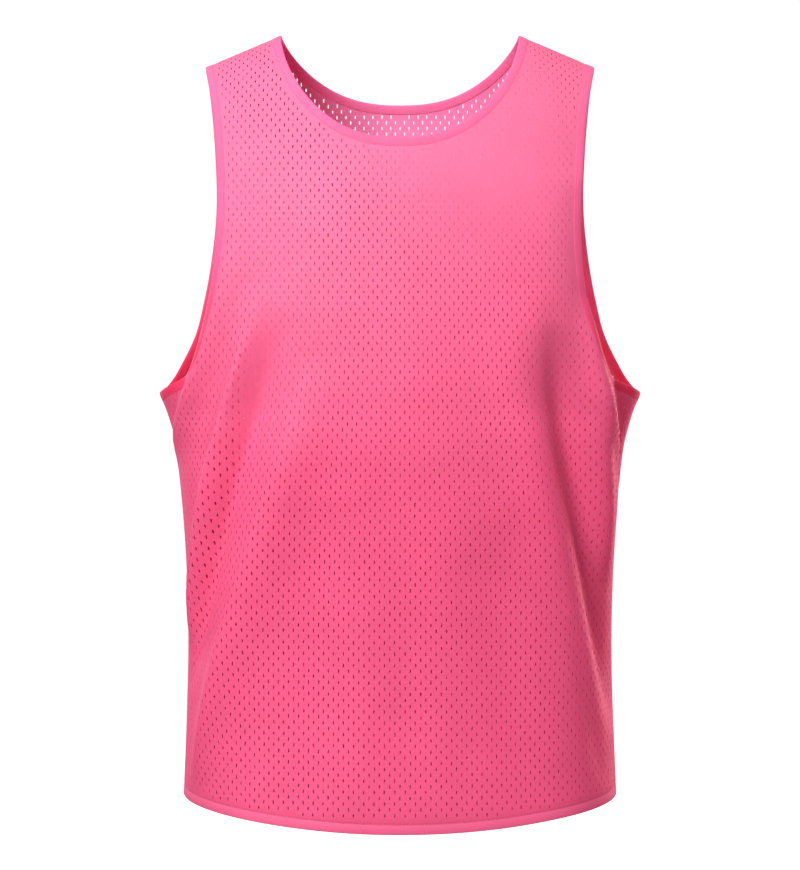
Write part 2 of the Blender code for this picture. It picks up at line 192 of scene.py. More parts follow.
# %% Tables of the form
# Height, half width, front depth, back depth, roundness
SECTIONS = np.array([
    (-0.700, 0.1910, 0.121, 0.106, 2.45),
    (-0.600, 0.1865, 0.118, 0.100, 2.50),
    (-0.515, 0.1850, 0.118, 0.097, 2.50),
    (-0.440, 0.1880, 0.120, 0.099, 2.45),
    (-0.390, 0.1925, 0.121, 0.101, 2.35),
    (-0.355, 0.1970, 0.122, 0.104, 2.20),
    (-0.330, 0.2040, 0.122, 0.105, 2.05),
    (-0.313, 0.2105, 0.122, 0.106, 2.00),
    (-0.280, 0.2120, 0.120, 0.107, 2.10),
    (-0.200, 0.2120, 0.110, 0.106, 2.30),
    (-0.150, 0.2110, 0.099, 0.102, 2.30),
    (-0.100, 0.2080, 0.086, 0.094, 2.30),
    (-0.050, 0.2040, 0.074, 0.082, 2.30),
    (0.000, 0.2000, 0.066, 0.070, 2.30),
    (0.070, 0.1900, 0.060, 0.060, 2.30),
])
HALF_WIDTH, DEPTH, ROUNDNESS = 1, {"front": 2, "back": 3}, 4
OUTWARD = {"front": -1.0, "back": 1.0}
# The cuts are worked out at each millimetre of height and read at even shares of their length
LEVELS = np.linspace(-0.712, 0.090, 803)
SHARES = np.linspace(0, 1, 257)
CUT_POINTS = 385


def smooth_column(table, column, at):
    """One column of a table at the heights given, on a smooth curve through its rows."""
    heights, values = table[:, 0], table[:, column]
    slopes = np.gradient(values, heights)
    at = np.clip(at, heights[0], heights[-1])
    low = np.clip(np.searchsorted(heights, at) - 1, 0, len(heights) - 2)
    step = heights[low + 1] - heights[low]
    t = (at - heights[low]) / step
    from_low = (1 + 2 * t) * (1 - t) ** 2 * values[low] + t * (1 - t) ** 2 * step * slopes[low]
    from_high = t * t * (3 - 2 * t) * values[low + 1] - t * t * (1 - t) * step * slopes[low + 1]
    return from_low + from_high


def quarter_cuts(panel):
    """For each level: x and depth at even shares of the cloth from centre to side seam."""
    turn = np.linspace(0, QUARTER_TURN, CUT_POINTS)
    power = smooth_column(SECTIONS, ROUNDNESS, LEVELS)[:, None]
    size = (np.sin(turn) ** power + np.cos(turn) ** power) ** (1 / power)
    x = smooth_column(SECTIONS, HALF_WIDTH, LEVELS)[:, None] * np.sin(turn) / size
    depth = smooth_column(SECTIONS, DEPTH[panel], LEVELS)[:, None] * np.cos(turn) / size
    steps = np.hypot(np.diff(x, axis=1), np.diff(depth, axis=1))
    along = np.concatenate([np.zeros((len(LEVELS), 1)), np.cumsum(steps, axis=1)], axis=1)
    even = [SHARES * row[-1] for row in along]
    return {
        "side": along[:, -1],
        "x": np.array([np.interp(e, a, r) for e, a, r in zip(even, along, x)]),
        "depth": np.array([np.interp(e, a, r) for e, a, r in zip(even, along, depth)]),
    }


CUTS = {panel: quarter_cuts(panel) for panel in OUTWARD}
for panel in OUTWARD:
    print(f"{panel}: {2 * CUTS[panel]['side'].max():.3f} m of cloth round the chest")

# %% [markdown]
# Over each shoulder the cloth bends from upright to level. That bend is a quarter ellipse, and
# the ridge along its top is the shoulder seam. A point of the flat pattern is named by how far
# it lies along from the centre line and how far up the cloth, and these functions find where
# it comes to rest on the form.

# %% From flat pattern to form
NECK_HALF_WIDTH = 104 * MM
SHOULDER_HALF_WIDTH = 170.5 * MM
SHOULDER_FALL = 28 * MM
RIDGE_SLOPE = SHOULDER_FALL / (SHOULDER_HALF_WIDTH - NECK_HALF_WIDTH)
RIDGE_COSINE = math.cos(math.atan(RIDGE_SLOPE))
ARCH_DEPTH = 66 * MM
ARCH_HEIGHT = 110 * MM

ARCH_ANGLES = np.linspace(0, QUARTER_TURN, 257)
arch_speed = np.hypot(ARCH_DEPTH * np.cos(ARCH_ANGLES), ARCH_HEIGHT * np.sin(ARCH_ANGLES))
arch_steps = (arch_speed[1:] + arch_speed[:-1]) / 2 * np.diff(ARCH_ANGLES)
ARCH_LENGTHS = np.concatenate([[0], np.cumsum(arch_steps)])
ARCH_SLACK = ARCH_LENGTHS[-1] - ARCH_HEIGHT


def ridge_height(x):
    return (NECK_HALF_WIDTH - np.abs(x)) * RIDGE_SLOPE


def read_cuts(table, up, share):
    """Values between the rows and columns of a table of level cuts."""
    row = np.clip((up - LEVELS[0]) / (LEVELS[1] - LEVELS[0]), 0, len(LEVELS) - 1.001)
    column = np.clip(share * (len(SHARES) - 1), 0, len(SHARES) - 1.001)
    i, j = row.astype(int), column.astype(int)
    a, b = row - i, column - j
    low = (1 - b) * table[i, j] + b * table[i, j + 1]
    high = (1 - b) * table[i + 1, j] + b * table[i + 1, j + 1]
    return (1 - a) * low + a * high


def side_length(panel, up):
    return np.interp(up, LEVELS, CUTS[panel]["side"])


def share_out(panel, along, up):
    """Share of the way from centre line to side seam, which falls again past the seam."""
    end = side_length(panel, up)
    out = np.abs(along)
    return np.minimum(out, 2 * end - out) / end


def x_at(panel, along, up):
    return np.sign(along) * read_cuts(CUTS[panel]["x"], up, share_out(panel, along, up))


def along_at(panel, x, up):
    """Cloth from the centre line out to x at each height."""
    found = []
    for place, level in zip(np.abs(x), up):
        row = read_cuts(CUTS[panel]["x"], np.full(len(SHARES), level), SHARES)
        found.append(np.interp(place, row, SHARES))
    return np.sign(x) * np.array(found) * side_length(panel, up)


def columns(*values):
    return np.stack(values, axis=1)


def plain_form(panel, along, up):
    """Points of the form without folds. It runs on smoothly past side seam and ridge."""
    share = share_out(panel, along, up)
    past_seam = np.abs(along) > side_length(panel, up)
    x = read_cuts(CUTS[panel]["x"], up, share)
    y = read_cuts(CUTS[panel]["depth"], up, share) * np.where(past_seam, -1.0, 1.0)
    ridge = ridge_height(x)
    below = ARCH_SLACK + ridge - up
    length = np.abs(below)
    angle = np.interp(length, ARCH_LENGTHS, ARCH_ANGLES)
    drop = ARCH_HEIGHT * (1 - np.cos(angle)) + np.maximum(length - ARCH_LENGTHS[-1], 0)
    y = OUTWARD[panel] * y * np.sin(angle) * np.sign(below)
    return columns(np.sign(along) * x, y, ridge - drop)


def unit(vectors):
    return vectors / np.linalg.norm(vectors, axis=1, keepdims=True)


def outward_normals(panel, along, up, reach=1.5 * MM):
    across = plain_form(panel, along + reach, up) - plain_form(panel, along - reach, up)
    upward = plain_form(panel, along, up + reach) - plain_form(panel, along, up - reach)
    return unit(-OUTWARD[panel] * np.cross(across, upward))


print(f"shoulder bend takes {ARCH_LENGTHS[-1] * 1000:.0f} mm of cloth")

# %% [markdown]
# ## Folds
#
# Loose cloth hangs in soft folds that start under the arms and run down and outward. A
# simulation would make folds somewhere, but not where this garment has them, so they are
# listed one by one. Each is a smooth ridge or trough through three places, with a half width and
# a rise. The last rows of each list are finer creases, which only thin cloth shows.

# %% Place the folds
FOLD_FADE = 30 * MM
# Three places (x, z) from top to foot, half widths toward centre and side, rise
FRONT_FOLDS = [
    ((-.118, -.220), (-.148, -.355), (-.180, -.540), .013, .013, .0075),
    ((-.096, -.245), (-.137, -.380), (-.180, -.575), .012, .012, -.0075),
    ((-.068, -.280), (-.118, -.430), (-.177, -.655), .030, .013, .0090),
    ((.110, -.220), (.138, -.430), (.178, -.610), .034, .016, .0080),
    ((.121, -.255), (.156, -.425), (.183, -.610), .024, .024, -.0130),
    ((.158, -.250), (.175, -.370), (.180, -.480), .014, .012, .0060),
    ((.160, -.230), (.175, -.310), (.188, -.380), .012, .008, .0060),
    ((.178, -.220), (.193, -.312), (.205, -.420), .010, .016, -.0080),
    ((-.147, -.160), (-.174, -.295), (-.195, -.385), .018, .009, .0060),
    ((-.177, -.220), (-.192, -.312), (-.198, -.360), .010, .014, -.0055),
    ((-.060, -.400), (-.075, -.540), (-.085, -.690), .030, .030, -.0035),
    ((.075, -.420), (.092, -.560), (.120, -.690), .028, .028, -.0040),
    ((-.126, -.255), (-.158, -.375), (-.181, -.535), .0065, .0070, .0052),
    ((.160, -.130), (.168, -.235), (.180, -.325), .024, .024, -.0060),
    ((.140, -.500), (.158, -.570), (.172, -.650), .009, .009, -.0016),
    ((-.140, -.500), (-.160, -.580), (-.176, -.650), .010, .010, .0016),
    ((.020, -.440), (.034, -.560), (.030, -.680), .022, .022, .0016),
    ((-.030, -.460), (-.026, -.570), (-.036, -.680), .020, .020, .0014),
]
BACK_FOLDS = [
    ((-.130, -.230), (-.148, -.380), (-.180, -.570), .030, .012, .0080),
    ((-.070, -.260), (-.082, -.450), (-.105, -.680), .028, .028, -.0060),
    ((.125, -.240), (.140, -.400), (.178, -.620), .032, .012, .0080),
    ((.060, -.250), (.074, -.430), (.090, -.660), .026, .026, -.0055),
    ((.010, -.330), (-.004, -.480), (.006, -.690), .024, .024, .0050),
    ((-.160, -.320), (-.170, -.390), (-.178, -.460), .008, .008, .0016),
    ((.150, -.330), (.166, -.400), (.176, -.480), .008, .008, -.0018),
    ((-.110, -.420), (-.128, -.520), (-.150, -.620), .012, .012, .0020),
    ((.112, -.440), (.126, -.540), (.140, -.640), .012, .012, -.0018),
    ((-.030, -.200), (-.040, -.300), (-.036, -.420), .018, .018, .0014),
]
FOLDS = {"front": FRONT_FOLDS, "back": BACK_FOLDS}


def fold_rise(panel, along, up):
    """How far the folds lift the cloth off the plain form."""
    room = np.clip((side_length(panel, up) - np.abs(along)) / FOLD_FADE, 0, 1)
    rise = np.zeros(len(along))
    for top, bend, foot, inner, outer, height in FOLDS[panel]:
        places = np.array([top, bend, foot])
        path = np.polyfit(places[:, 1], along_at(panel, places[:, 0], places[:, 1]), 2)
        run = np.clip((up - foot[1]) / (top[1] - foot[1]), 0, 1)
        aside = (along - np.polyval(path, up)) * np.sign(bend[0])
        width = np.where(aside < 0, inner, outer)
        rise += height * (1 - (2 * run - 1) ** 4) ** 1.5 * np.exp(-((aside / width) ** 2))
    return rise * room * room * (3 - 2 * room)


print(len(FRONT_FOLDS), "folds in front,", len(BACK_FOLDS), "behind")

# %% [markdown]
# ## Hem
#
# The hem is the panel's own lower edge, turned up once inside and stitched. In the pattern it
# is only more cloth below the fold line. This function rolls that cloth round a small radius
# and lays it flat against the inside, so that the hem needs no piece of its own.

# %% Turn up the hem and sink the seams
HEM_HEIGHT = -660.5 * MM
HEM_DIP = {"front": 23 * MM, "back": 44 * MM}
HEM_DIP_POWER = {"front": 1.4, "back": 0.85}
HEM_DEPTH = 9.5 * MM
HEM_RADIUS = 0.7 * MM
HEM_ROLL = math.pi * HEM_RADIUS
HEM_STITCH = 8 * MM
SEAM_SINK = 0.5 * MM
SEAM_REACH = 1.6 * MM
STITCH_SINK = 0.35 * MM
STITCH_REACH = 0.9 * MM


def hem_line(panel, along):
    """Height of the hem's fold: lowest at the centre line, rising to the side seams."""
    along = np.asarray(along, dtype=float)
    side = side_length(panel, np.full(len(along), HEM_HEIGHT))
    turn = np.clip(np.abs(along) / side, 0, 1) * QUARTER_TURN
    dip = HEM_DIP[panel] * np.maximum(np.cos(turn), 0) ** HEM_DIP_POWER[panel]
    return HEM_HEIGHT - dip + HEM_RADIUS


def seam_sink(panel, along, up):
    """Seams and the hem's stitch line draw the cloth in a little."""
    to_side = side_length(panel, up) - np.abs(along)
    to_ridge = (ARCH_SLACK + ridge_height(x_at(panel, along, up)) - up) * RIDGE_COSINE
    to_stitch = up - hem_line(panel, along) - HEM_STITCH
    sink = SEAM_SINK * np.exp(-((to_side / SEAM_REACH) ** 2))
    sink += SEAM_SINK * np.exp(-((to_ridge / SEAM_REACH) ** 2))
    return sink + STITCH_SINK * np.exp(-((to_stitch / STITCH_REACH) ** 2))


def on_form(panel, along, up, lift=0.0):
    """Points of the cloth's outer face. Cloth below the hem line is turned up inside."""
    along = np.asarray(along, dtype=float)
    up = np.asarray(up, dtype=float)
    hem = hem_line(panel, along)
    turned = np.maximum(hem - up, 0)
    angle = np.minimum(turned / HEM_RADIUS, math.pi)
    inward = HEM_RADIUS * (1 - np.cos(angle))
    level = np.maximum(up, hem) - HEM_RADIUS * np.sin(angle) + np.maximum(turned - HEM_ROLL, 0)
    rise = fold_rise(panel, along, level) - inward + lift
    return plain_form(panel, along, level) + outward_normals(panel, along, level) * rise[:, None]


print(f"hem: {HEM_DEPTH * 1000:.1f} mm turned up")

# %% [markdown]
# ## Edges of the pattern
#
# The armhole and neck edges are curves on the form, read back onto the flat pattern. Lines set
# in from them by a few millimetres serve twice: the cloth is cut under the binding, and the
# binding's own cross-section is swept along them.

# %% Draw the armhole and neck edges
# Height, half width between the front edges, half width between the back edges
ARMHOLES = np.array([
    (-0.313, 0.2105, 0.2105),
    (-0.300, 0.1885, 0.2018),
    (-0.285, 0.1775, 0.1943),
    (-0.260, 0.1688, 0.1838),
    (-0.230, 0.1610, 0.1768),
    (-0.190, 0.1568, 0.1700),
    (-0.150, 0.1560, 0.1660),
    (-0.100, 0.1583, 0.1662),
    (-0.060, 0.1635, 0.1680),
    (-0.028, 0.1705, 0.1705),
])
UNDERARM_HEIGHT = ARMHOLES[0, 0]
ARMHOLE_COLUMN = {"front": 1, "back": 2}
# Drop at the centre, and the powers of the curve across and down
NECKS = {"front": (0.098, 2.3, 1.6), "back": (0.051, 2.45, 1.2)}
EDGE_SAMPLES = 516
ARMHOLE_SEGMENTS, NECK_SEGMENTS = 96, 64


def on_ridge(panel, x):
    x = np.atleast_1d(x)
    up = ARCH_SLACK + ridge_height(x)
    return columns(along_at(panel, x, up), up)


def on_pattern(panel, x, z):
    """The pattern's place (along, up) for points seen from the front at x and z."""
    ridge = ridge_height(x)
    fall = np.clip(ridge - z, 0, None)
    angle = np.arccos(1 - np.minimum(fall / ARCH_HEIGHT, 1))
    below = np.interp(angle, ARCH_ANGLES, ARCH_LENGTHS) + np.maximum(fall - ARCH_HEIGHT, 0)
    up = ARCH_SLACK + ridge - below
    return columns(along_at(panel, x, up), up)


def length_along(points):
    """Length of a line up to each of its points."""
    return np.concatenate([[0], np.cumsum(np.linalg.norm(np.diff(points, axis=0), axis=1))])


def drawn_edge(panel, x, z, segments, start_x, end):
    """An edge seen at x and z, in equal steps along the cloth from the ridge to its end."""
    places = on_pattern(panel, x, z)
    run = length_along(plain_form(panel, places[:, 0], places[:, 1]))
    stops = np.linspace(0, run[-1], segments + 1)
    edge = columns(*(np.interp(stops, run, places[:, k]) for k in (0, 1)))
    edge[0], edge[-1] = on_ridge(panel, start_x), end
    return edge


def armhole_edge(panel):
    z = np.linspace(-SHOULDER_FALL, UNDERARM_HEIGHT, EDGE_SAMPLES)
    x = smooth_column(ARMHOLES, ARMHOLE_COLUMN[panel], z)
    end = side_length(panel, UNDERARM_HEIGHT), UNDERARM_HEIGHT
    return drawn_edge(panel, x, z, ARMHOLE_SEGMENTS, SHOULDER_HALF_WIDTH, end)


def neck_edge(panel):
    drop, across, down = NECKS[panel]
    turn = np.linspace(0, QUARTER_TURN, EDGE_SAMPLES)
    x = NECK_HALF_WIDTH * np.cos(turn) ** (2 / across)
    z = -drop * np.sin(turn) ** (2 / down)
    return drawn_edge(panel, x, z, NECK_SEGMENTS, NECK_HALF_WIDTH, (0.0, -drop))


ARMHOLE_EDGES = {panel: armhole_edge(panel) for panel in OUTWARD}
NECK_EDGES = {panel: neck_edge(panel) for panel in OUTWARD}
print("edges drawn:", ", ".join(f"{len(e)} points" for e in ARMHOLE_EDGES.values()))

# %% Set lines in from the edges
def beside(edge, shift, start_x, panel):
    """A line beside an edge, shifted to its left if shift is positive, from the ridge down."""
    tangent = unit(np.gradient(edge, axis=0))
    line = edge + shift * columns(-tangent[:, 1], tangent[:, 0])
    line[0] = on_ridge(panel, start_x)
    line[-1, 1] = edge[-1, 1] - abs(shift)
    return line


def armhole_line(panel, inset):
    """The armhole edge set in by so much, at +X, from shoulder to underarm."""
    start_x = SHOULDER_HALF_WIDTH - inset * RIDGE_COSINE
    line = beside(ARMHOLE_EDGES[panel], -inset, start_x, panel)
    line[-1, 0] = side_length(panel, line[-1, 1])
    return line


def neck_line(panel, inset):
    """The neck edge set in by so much, at +X, from shoulder to centre line."""
    line = beside(NECK_EDGES[panel], inset, NECK_HALF_WIDTH + inset * RIDGE_COSINE, panel)
    line[-1, 0] = 0.0
    return line


for panel in OUTWARD:
    print(f"{panel}: neck {2 * length_along(NECK_EDGES[panel])[-1]:.3f} m on the pattern")

# %% [markdown]
# ## The flat panel
#
# The pattern of each panel is half an outline and its mirror image: hem, side seam, armhole,
# shoulder and neck. A mesh could also be modelled in its worn shape at once, but holes drawn
# flat stay as even as the knit's. The cloth ends inside the bindings, short of their edge.

# %% Draw the outlines of the panels
CLOTH_INSET = 3 * MM
HEM_SEGMENTS, SIDE_SEGMENTS, SHOULDER_SEGMENTS = 84, 70, 12
# Rows of points over the hem's fold line, from above its stitches to the end of its roll
HEM_ROWS = [HEM_STITCH + STITCH_REACH, HEM_STITCH, HEM_STITCH - STITCH_REACH, HEM_STITCH / 2,
            0.0, -HEM_ROLL / 4, -HEM_ROLL / 2, -HEM_ROLL * 3 / 4, -HEM_ROLL]


def hem_row(panel, offset):
    along = np.linspace(0, side_length(panel, HEM_HEIGHT), HEM_SEGMENTS + 1)
    level = hem_line(panel, along) + offset
    along[-1] = side_length(panel, level[-1] if offset > 0 else HEM_HEIGHT)
    return columns(along, level)


def pattern_half(panel):
    """The pattern's edges at +X: hem, side, armhole, shoulder, neck, in order."""
    hem = hem_row(panel, -HEM_ROLL - HEM_DEPTH)
    armhole = armhole_line(panel, CLOTH_INSET)[::-1]
    neck = neck_line(panel, CLOTH_INSET)
    hem_side = np.array([hem_row(panel, offset)[-1] for offset in HEM_ROWS[::-1]])
    levels = np.linspace(hem_side[-1, 1], armhole[0, 1], SIDE_SEGMENTS + 1)[1:]
    side = columns(side_length(panel, levels), levels)
    ends = x_at(panel, *np.stack([armhole[-1], neck[0]]).T)
    shoulder = on_ridge(panel, np.linspace(ends[0], ends[1], SHOULDER_SEGMENTS + 1))
    return hem, hem_side, side, armhole, shoulder, neck


def mirrored(line):
    return line * (-1.0, 1.0)


for panel in OUTWARD:
    print(panel, "outline:", 2 * sum(map(len, pattern_half(panel))), "points")

# %% [markdown]
# ## The net of holes
#
# A mesh knit drops stitches in an even pattern, and each dropped stitch leaves a slim upright
# hole. Every second row is set half a hole sideways. The columns stand a little closer over
# the chest than below it, where the cloth is stretched sideways. Where a hole of the back lies
# behind one of the front, a white speck shines through both. So the net of the back is warped
# to fall between the holes of the front, and where folds still bring two together, the hole at
# the back steps aside.

# %% Set out rows of holes
HOLE_SIZE = np.array([0.55, 1.90]) * MM  # half width, half height
ROW_STEP = 4.8 * MM
PITCH_HEIGHTS = (-0.50, -0.40, -0.25, -0.10)
PITCHES = (8.6 * MM, 8.3 * MM, 7.5 * MM, 7.6 * MM)
NET_LOW, NET_SPARE, NET_COLUMNS = -0.72, 0.04, 42
# The warp is fitted inside these limits, and its terms are scaled to run from about -1 to 1
WARP_ALONG, WARP_UP, WARP_ROUNDS, WARP_STEP = 0.165, -0.06, 12, 0.02
WARP_CENTRE, WARP_SPAN = (0.0, -0.3), (0.25, 0.35)


def hole_lattice(offset=0.0):
    """Places in staggered rows, in columns that spread with the cloth's stretch."""
    rows = []
    for i, up in enumerate(np.arange(NET_LOW, ARCH_SLACK + NET_SPARE, ROW_STEP)):
        pitch = np.interp(up, PITCH_HEIGHTS, PITCHES)
        along = (np.arange(-NET_COLUMNS, NET_COLUMNS + 1) + 0.5 * (i % 2) + offset) * pitch
        rows.append(columns(along, np.full(len(along), up)))
    return np.concatenate(rows)


def seen(panel, places, form=plain_form):
    """Where places of a panel fall when looked at from straight in front."""
    x, y, z = form(panel, *places.T).T
    return columns(x, z - CAMERA_HEIGHT) / (CAMERA_DISTANCE + y)[:, None]


def slopes_seen(places, form=plain_form):
    """How far each place of the back shifts in that view for a step along and a step up."""
    here = seen("back", places, form)
    return columns(*((seen("back", places + step, form) - here)[:, k] / MM
                     for k, step in enumerate(((MM, 0), (0, MM)))))


def powers(places):
    """Terms of a smooth warp, even in the way that keeps left and right alike."""
    a, u = ((places - WARP_CENTRE) / WARP_SPAN).T
    across = [a, a * u, a * u**2, a**3, a**3 * u, a**5, a * u**3]
    upward = [np.ones_like(u), u, u**2, u**3, a**2, a**2 * u, a**4, a**2 * u**2]
    return columns(*across), columns(*upward)


def back_lattice():
    """The holes of the back, warped so that the two nets don't line up from in front."""
    front = hole_lattice(offset=0.5)
    sample = front[(np.abs(front[:, 0]) < WARP_ALONG) & (front[:, 1] < WARP_UP)]
    target = seen("front", sample)
    found = sample.copy()
    for _ in range(WARP_ROUNDS):
        gap = target - seen("back", found)
        found += np.clip(gap / slopes_seen(found), -WARP_STEP, WARP_STEP)
    warped = np.empty_like(front)
    for k in (0, 1):
        terms = powers(sample)[k]
        weights = np.linalg.lstsq(terms, found[:, k], rcond=None)[0]
        warped[:, k] = powers(front)[k] @ weights
        error = np.abs(terms @ weights - found[:, k]).max()
        print(f"warp {'xz'[k]}: {1000 * error:.2f} mm off at most")
    return warped


NETS = {"front": hole_lattice(), "back": back_lattice()}
print("places for holes:", len(NETS["front"]), "a panel, before the edges are cleared")

# %% Keep the holes clear of the edges and of each other
TAPE_WIDTH = 8 * MM
CLEAR_OF_TAPE = TAPE_WIDTH - CLOTH_INSET + 2.4 * MM
CLEAR_OF_SEAM = 3.6 * MM
CLEAR_OF_HEM = 2.2 * MM
# In hole sizes, and the furthest that a hole steps aside
HOLE_GAP = 1.2
HOLE_SHIFT = 1.8 * MM


def inside(places, outline):
    start, end = outline, np.roll(outline, -1, axis=0)
    x, y = places[:, None, 0], places[:, None, 1]
    spans = (start[:, 1] > y) != (end[:, 1] > y)
    rise = np.where(end[:, 1] == start[:, 1], 1.0, end[:, 1] - start[:, 1])
    crossing = start[:, 0] + (y - start[:, 1]) / rise * (end[:, 0] - start[:, 0])
    return (spans & (x < crossing)).sum(axis=1) % 2 == 1


def distance_to(places, line):
    step = line[1:] - line[:-1]
    t = ((places[:, None] - line[:-1]) * step).sum(axis=2) / (step**2).sum(axis=1)
    nearest = line[:-1] + np.clip(t, 0, 1)[..., None] * step
    return np.linalg.norm(places[:, None] - nearest, axis=2).min(axis=1)


def hole_centres(panel, outline, edges):
    """Places of the holes that lie clear of every edge, binding and stitch line."""
    side, armhole, shoulder, neck = edges[2:]
    places = NETS[panel][inside(NETS[panel], outline)]
    for edge, clear in ((armhole, CLEAR_OF_TAPE), (neck, CLEAR_OF_TAPE),
                        (side, CLEAR_OF_SEAM), (shoulder, CLEAR_OF_SEAM)):
        for line in (edge, mirrored(edge)):
            places = places[distance_to(places, line) > clear]
    above = places[:, 1] - hem_line(panel, places[:, 0])
    return places[above > HEM_ROWS[0] + CLEAR_OF_HEM]


def step_aside(places, front_places):
    """Back holes moved a little sideways where a hole of the front lies before them."""
    size = 2 * HOLE_SIZE / CAMERA_DISTANCE
    backs = seen("back", places, on_form) / size
    fronts = seen("front", front_places, on_form) / size
    tree = KDTree(len(fronts))
    for i, (u, v) in enumerate(fronts):
        tree.insert((u, v, 0.0), i)
    tree.balance()
    nearest = np.array([tree.find((u, v, 0.0))[1] for u, v in backs])
    gap = backs - fronts[nearest]
    spread = slopes_seen(places, on_form)[:, 0]
    hidden = (np.abs(gap[:, 0]) < HOLE_GAP) & (np.abs(gap[:, 1]) < HOLE_GAP)
    short = np.where(hidden, HOLE_GAP - np.abs(gap[:, 0]), 0) * size[0] / spread
    moved = places.copy()
    moved[:, 0] += np.where(gap[:, 0] < 0, -1, 1) * np.clip(short, -HOLE_SHIFT, HOLE_SHIFT)
    print(f"{hidden.sum()} holes of the back stepped aside")
    return moved


print(f"holes end {CLEAR_OF_SEAM * 1000:.1f} mm from the seams")

# %% [markdown]
# ## Cutting
#
# The holes are real openings in the geometry: a constrained triangulation keeps their edges,
# and the triangles that fill them are dropped. That costs faces, but light and the far side of
# the garment then show through as they should. Some points of plain cloth are added where
# folds are narrow and under the tape, so that the cloth bends there between its holes.

# %% Cut the panels and punch their holes
HOLE_SHAPE = np.array([(0, 1), (-1, .42), (-1, -.42), (0, -1), (1, -.42), (1, .42)])
HOLE_SEEDS = {"front": 11, "back": 12}
# Spread of the holes' sizes as a share, and of their places
HOLE_UNEVEN, HOLE_STRAY = 0.06, 0.12 * MM
BETWEEN_HOLES = np.array([(4.1, 0.0), (2.1, 2.4), (-2.1, 2.4)]) * MM
CREASE_POINTS = 1000
CREASE_SPAN = 4 * MM
TAPE_LINES = (5.5 * MM, 8.0 * MM)
SEAM_LINE = 1.5 * MM
WELD = 1e-7
HOLES = {}


def crease_points(panel, centres):
    """Places between the holes, where the folds bend the cloth most."""
    places = np.concatenate([centres + step for step in BETWEEN_HOLES])
    before, here, after = (fold_rise(panel, places[:, 0] + step, places[:, 1])
                           for step in (-CREASE_SPAN, 0, CREASE_SPAN))
    bend = np.abs(here - (before + after) / 2)
    return places[np.argsort(-bend)[:CREASE_POINTS]]


def under_tape(panel):
    """Points in lines under the binding tapes, at both sides."""
    lines = [armhole_line(panel, inset)[1:-2] for inset in TAPE_LINES]
    lines += [neck_line(panel, inset)[1:-1] for inset in TAPE_LINES]
    return lines + [mirrored(line) for line in lines]


def kept_lines(panel, side, shoulder):
    """Lines that the triangles keep to: rows of the hem and one beside each seam."""
    lines = [hem_row(panel, offset)[:-1] for offset in HEM_ROWS]
    lines += [side[:-2] - (SEAM_LINE, 0), shoulder[1:-1] - (0, SEAM_LINE)]
    return [drawn for line in lines for drawn in (line, mirrored(line))]


def links_round(rings):
    """Links from each point's number to the next one's, round closed rings of numbers."""
    return np.stack([rings, np.roll(rings, -1, axis=1)], axis=2).reshape(-1, 2)


def punched_holes(panel, outline, edges):
    """Corners of the panel's holes, each a little uneven in size and place."""
    rng = np.random.default_rng(HOLE_SEEDS[panel])
    centres = hole_centres(panel, outline, edges)
    sizes = HOLE_SIZE * rng.normal(1, HOLE_UNEVEN, (len(centres), 2))
    centres = centres + rng.normal(0, HOLE_STRAY, centres.shape)
    if panel == "back":
        centres = step_aside(centres, HOLES["front"])
    HOLES[panel] = centres
    return centres[:, None] + HOLE_SHAPE * sizes[:, None]


def cut_panel(panel):
    """The flat pattern as triangles, with its holes left open."""
    edges = pattern_half(panel)
    hem, hem_side, side, armhole, shoulder, neck = edges
    half = np.concatenate([hem[:-1], hem_side, side, armhole[1:-1], shoulder, neck[1:]])
    outline = np.concatenate([half, mirrored(half[1:-1])[::-1]])
    holes = punched_holes(panel, outline, edges)
    between = np.concatenate([crease_points(panel, HOLES[panel])] + under_tape(panel))
    places = [outline, holes.reshape(-1, 2), between[inside(between, outline)]]
    loop = np.arange(len(outline))
    corners = len(outline) + np.arange(len(places[1])).reshape(len(holes), -1)
    links = [links_round(loop[None]), links_round(corners)]
    for line in kept_lines(panel, side, shoulder):
        row = sum(map(len, places)) + np.arange(len(line))
        places.append(line)
        links.append(columns(row[:-1], row[1:]))
    vertices, _, triangles, origins, *_ = delaunay_2d_cdt(
        [tuple(place) for place in np.concatenate(places)],
        [tuple(link) for link in np.concatenate(links).tolist()],
        [loop.tolist()], 1, WELD)
    # A triangle fills a hole if all three of its corners are that hole's own
    owner = np.full(len(vertices), -1)
    for i, sources in enumerate(origins):
        held = [s - len(outline) for s in sources if s >= len(outline)]
        if held and held[0] < len(places[1]):
            owner[i] = held[0] // len(HOLE_SHAPE)
    faces = np.array(triangles)
    owners = owner[faces]
    filled = (owners[:, 0] >= 0) & (owners == owners[:, :1]).all(axis=1)
    cut = np.array([tuple(vertex) for vertex in vertices])
    print(f"{panel}: {len(holes)} holes, {(~filled).sum()} triangles a face")
    return cut, faces[~filled], outline


# %% [markdown]
# ## From flat panel to cloth
#
# The triangles are laid on the form and thickened to a shell of half a millimetre. Doing that
# in code, not with a modifier, keeps the offset along the cloth's own surface at every hole's
# edge. The sharp edges round the holes keep their walls from shading the cloth beside them.

# %% Lay the panels on the form
CLOTH_THICKNESS = 0.5 * MM
SHARP_HOLE_EDGE = 50


def surface_normals(points, faces):
    corners = points[faces]
    face_normals = np.cross(corners[:, 1] - corners[:, 0], corners[:, 2] - corners[:, 0])
    normals = np.zeros_like(points)
    for k in range(3):
        np.add.at(normals, faces[:, k], face_normals)
    return unit(normals)


def open_edges(faces, count):
    """Edges with a face on one side only, in that face's direction."""
    pairs = np.concatenate([faces[:, [0, 1]], faces[:, [1, 2]], faces[:, [2, 0]]])
    there = pairs[:, 0] * count + pairs[:, 1]
    back = pairs[:, 1] * count + pairs[:, 0]
    return pairs[~np.isin(there, back)]


